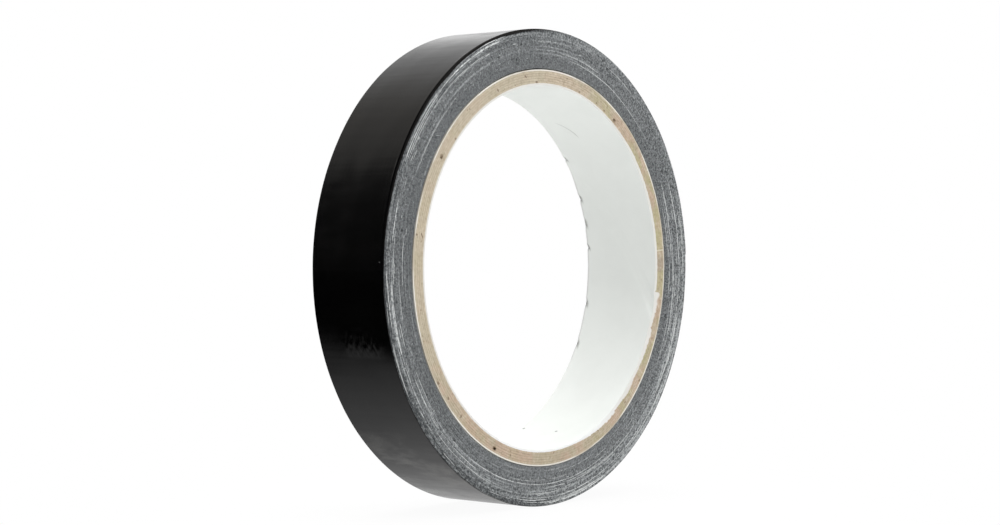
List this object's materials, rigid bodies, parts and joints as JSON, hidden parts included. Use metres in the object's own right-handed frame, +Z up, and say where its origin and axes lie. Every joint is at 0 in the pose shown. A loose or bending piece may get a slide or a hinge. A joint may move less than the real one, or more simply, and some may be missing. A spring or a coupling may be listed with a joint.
{
  "type": "duct tape roll",
  "caption": "Roll of black cloth-backed adhesive tape wound in a spiral on a paper core, with a free end that peels up; the core slips over a spindle.",
  "frame": {"origin": "centre of the core's bore, half way across the roll's width", "axes": "Y along the roll's axis, with the front face at -Y; +Z up, with the roll standing on its rim"},
  "size_m": [0.0995, 0.019, 0.0993],
  "materials": {
    "liner_paper": "smooth white paper, uncoated",
    "kraft_board": "recycled kraft board, matt",
    "outer_paper": "pale matt paper",
    "adhesive": "grey pressure-sensitive rubber adhesive, tacky",
    "scrim_cloth": "pale open-weave cotton scrim",
    "black_film": "black polyethylene film, satin"
  },
  "bodies": {
    "roll": {"core_inner_liner": "liner_paper", "core_board_ply_1": "kraft_board", "core_board_ply_2": "kraft_board", "core_board_ply_3": "kraft_board", "core_board_ply_4": "kraft_board", "core_board_ply_5": "kraft_board", "core_outer_liner": "outer_paper", "tape_adhesive": "adhesive", "tape_cloth": "scrim_cloth", "tape_film": "black_film"},
    "free_end": {"free_end_adhesive": "adhesive", "free_end_cloth": "scrim_cloth", "free_end_film": "black_film"}
  },
  "joints": [
    {"name": "end_peel", "type": "hinge", "parent": "roll", "child": "free_end", "pos_m": [0.04223, 0, 0.02631], "axis": [0, -1, 0], "range_deg": [0, 100]}
  ]
}
